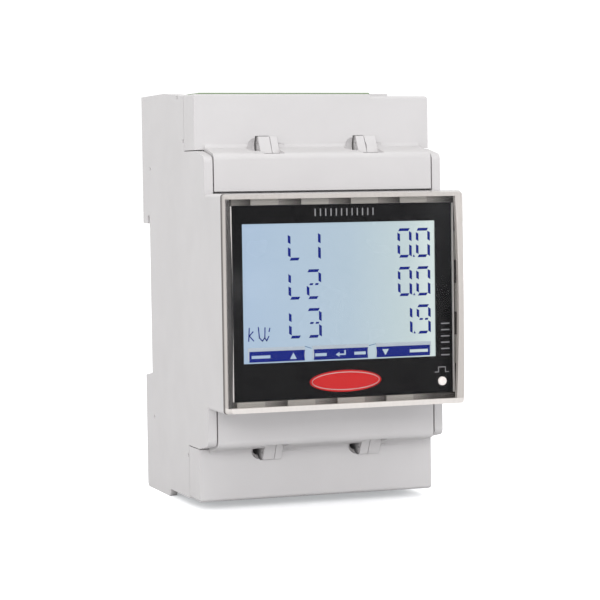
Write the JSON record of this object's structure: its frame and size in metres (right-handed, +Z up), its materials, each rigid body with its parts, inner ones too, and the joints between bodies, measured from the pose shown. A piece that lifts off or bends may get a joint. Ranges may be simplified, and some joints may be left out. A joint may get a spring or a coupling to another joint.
{
  "type": "smart electric meter",
  "caption": "Modular rail-mounted energy meter: lit display behind a bowed clear window, pull-off terminal covers, terminal blocks, sprung rail clip and electronics inside.",
  "frame": {"origin": "middle of the outline seen from above, at the level of the lowest point of the rear foot", "axes": "+X to the right of somebody facing the display, +Y from the display towards the rail, +Z up"},
  "size_m": [0.054, 0.0656, 0.0908],
  "materials": {
    "housing_plastic": "fine spark-eroded texture, light warm grey",
    "clear_window": "clear polycarbonate, polished",
    "ring_plastic": "translucent light grey",
    "gasket_rubber": "matt black",
    "panel_black": "gloss black print on film",
    "badge_red": "gloss red",
    "display_glass": "pale blue lit liquid crystal display",
    "guide_plastic": "milky acrylic",
    "white_plastic": "white, satin",
    "electrode_film": "thin clear conductive film",
    "lamp_plastic": "diffuse white",
    "board_laminate": "green solder mask on glass laminate",
    "contact_brass": "tinned brass",
    "copper_bar": "bare copper",
    "coil_casing": "moulded blue casing",
    "transformer_tape": "ferrite core with yellow tape",
    "capacitor_can": "sleeved aluminium can",
    "film_case": "moulded yellow case",
    "varistor_coat": "epoxy coat",
    "chip_moulding": "moulded black",
    "crystal_can": "pressed can",
    "screw_steel": "zinc plated",
    "terminal_green": "satin green",
    "terminal_grey": "satin dark grey",
    "clip_plastic": "satin light grey",
    "spring_steel": "spring wire"
  },
  "bodies": {
    "meter_body": {"main_housing": "housing_plastic", "rear_cover": "housing_plastic", "display_window": "clear_window", "window_ring": "ring_plastic", "window_gasket": "gasket_rubber", "display_mask": "panel_black", "badge_plate": "badge_red", "lcd_glass": "display_glass", "lcd_light_guide": "guide_plastic", "lcd_holder": "white_plastic", "backlight_leds": "lamp_plastic", "touch_electrodes": "electrode_film", "pulse_led": "lamp_plastic", "pulse_light_pipe": "lamp_plastic", "display_board": "board_laminate", "supply_board": "board_laminate", "measuring_board": "board_laminate", "board_screws": "screw_steel", "supply_header": "contact_brass", "display_header": "contact_brass", "current_transformer_left": "coil_casing", "current_transformer_middle": "coil_casing", "current_transformer_right": "coil_casing", "primary_conductors": "copper_bar", "measuring_chip": "chip_moulding", "bus_transceiver": "chip_moulding", "processor_chip": "chip_moulding", "supply_transformer": "transformer_tape", "supply_capacitors": "capacitor_can", "filter_capacitor": "film_case", "varistors": "varistor_coat", "clock_crystal": "crystal_can", "upper_terminal_block": "terminal_green", "lower_terminal_block": "terminal_grey", "upper_contact_bars": "contact_brass", "lower_contact_bars": "contact_brass", "upper_terminal_screws": "screw_steel", "lower_terminal_screws": "screw_steel", "upper_wire_clamps": "screw_steel", "lower_wire_clamps": "screw_steel", "clip_spring": "spring_steel"},
    "rail_clip": {"din_clip": "clip_plastic"},
    "upper_cover": {"upper_terminal_cover": "housing_plastic"},
    "lower_cover": {"lower_terminal_cover": "housing_plastic"}
  },
  "joints": [
    {"name": "clip_release", "type": "slide", "parent": "meter_body", "child": "rail_clip", "axis": [0, 0, -1], "range_m": [0, 0.004], "stiffness_N_per_m": 700, "springref_m": -0.002, "deforming": ["clip_spring"]},
    {"name": "upper_cover_pull", "type": "slide", "parent": "meter_body", "child": "upper_cover", "axis": [0, -1, 0], "range_m": [0, 0.02]},
    {"name": "lower_cover_pull", "type": "slide", "parent": "meter_body", "child": "lower_cover", "axis": [0, -1, 0], "range_m": [0, 0.02]}
  ]
}
